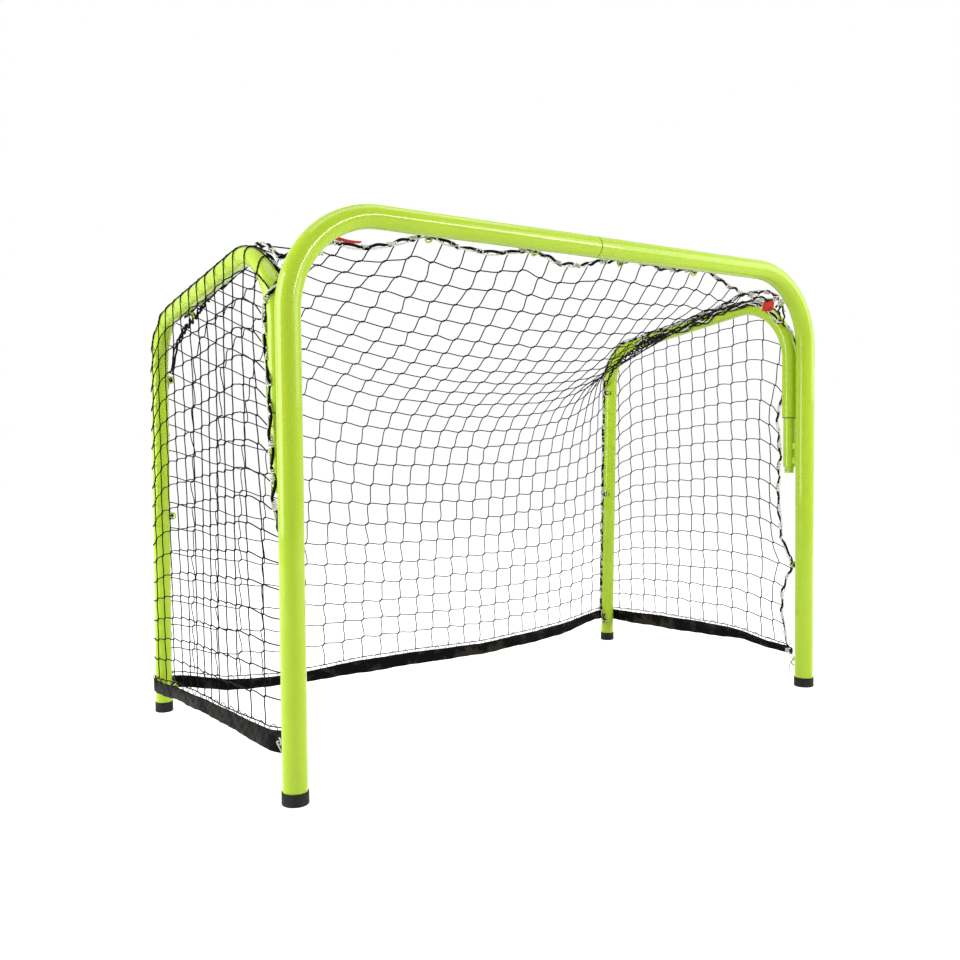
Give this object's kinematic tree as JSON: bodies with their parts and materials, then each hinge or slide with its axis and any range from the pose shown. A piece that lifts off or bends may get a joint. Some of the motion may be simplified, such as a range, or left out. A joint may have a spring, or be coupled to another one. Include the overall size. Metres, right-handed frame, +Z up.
{
  "type": "floorball goal",
  "caption": "Folding floorball goal: a bent tube front frame, side frames that fold on hinges behind the posts, a knotted net and a fabric hem band.",
  "frame": {"origin": "middle of the goal's footprint, on the floor", "axes": "+Z up, +Y from the mouth to the back of the goal, +X to the right of a player who looks into the mouth"},
  "size_m": [1.283, 0.6974, 0.94],
  "materials": {
    "frame_paint": "glossy lime green powder coat",
    "bare_steel": "plain zinc plated steel",
    "rubber_cap": "matt black rubber",
    "nylon_bush": "black moulded nylon",
    "net_twine": "black twisted twine",
    "hem_fabric": "dark grey coated fabric with a soft sheen",
    "tag_fabric": "red fabric",
    "white_cord": "off-white braided cord",
    "grommet_metal": "nickel plated ring"
  },
  "bodies": {
    "front_frame": {"front_frame_left_half": "frame_paint", "front_frame_right_half": "frame_paint", "crossbar_sleeve": "bare_steel", "post_foot_cap_left": "rubber_cap", "hinge_socket_left": "frame_paint", "lower_post_eye_left": "frame_paint", "upper_post_eye_left": "frame_paint", "corner_eye_left": "frame_paint", "corner_tag_left": "tag_fabric", "hem_tie_left": "white_cord", "post_foot_cap_right": "rubber_cap", "hinge_socket_right": "frame_paint", "lower_post_eye_right": "frame_paint", "upper_post_eye_right": "frame_paint", "corner_eye_right": "frame_paint", "corner_tag_right": "tag_fabric", "hem_tie_right": "white_cord", "crossbar_eye_1": "frame_paint", "crossbar_eye_2": "frame_paint", "crossbar_eye_3": "frame_paint", "crossbar_eye_4": "frame_paint", "roof_and_back_net": "net_twine", "back_hem": "hem_fabric"},
    "left_side": {"side_frame_left": "frame_paint", "pivot_tube_left": "frame_paint", "retaining_pin_left": "bare_steel", "leg_bush_left": "nylon_bush", "hinge_washer_left": "nylon_bush", "rear_foot_cap_left": "rubber_cap", "lower_rear_eye_left": "frame_paint", "middle_rear_eye_left": "frame_paint", "upper_rear_eye_left": "frame_paint", "top_rail_eye_left": "frame_paint", "side_net_left": "net_twine", "side_hem_left": "hem_fabric", "hem_grommet_left": "grommet_metal"},
    "right_side": {"side_frame_right": "frame_paint", "pivot_tube_right": "frame_paint", "retaining_pin_right": "bare_steel", "leg_bush_right": "nylon_bush", "hinge_washer_right": "nylon_bush", "rear_foot_cap_right": "rubber_cap", "lower_rear_eye_right": "frame_paint", "middle_rear_eye_right": "frame_paint", "upper_rear_eye_right": "frame_paint", "top_rail_eye_right": "frame_paint", "side_net_right": "net_twine", "side_hem_right": "hem_fabric", "hem_grommet_right": "grommet_metal"}
  },
  "joints": [
    {"name": "left_fold", "type": "hinge", "parent": "front_frame", "child": "left_side", "pos_m": [-0.62, -0.28525, 0.55], "axis": [0, 0, -1], "range_deg": [0, 90], "deforming": ["roof_and_back_net", "back_hem", "hem_tie_left", "corner_tag_left"]},
    {"name": "right_fold", "type": "hinge", "parent": "front_frame", "child": "right_side", "pos_m": [0.62, -0.28525, 0.55], "axis": [0, 0, 1], "range_deg": [0, 82], "deforming": ["roof_and_back_net", "back_hem", "hem_tie_right", "corner_tag_right"]}
  ]
}
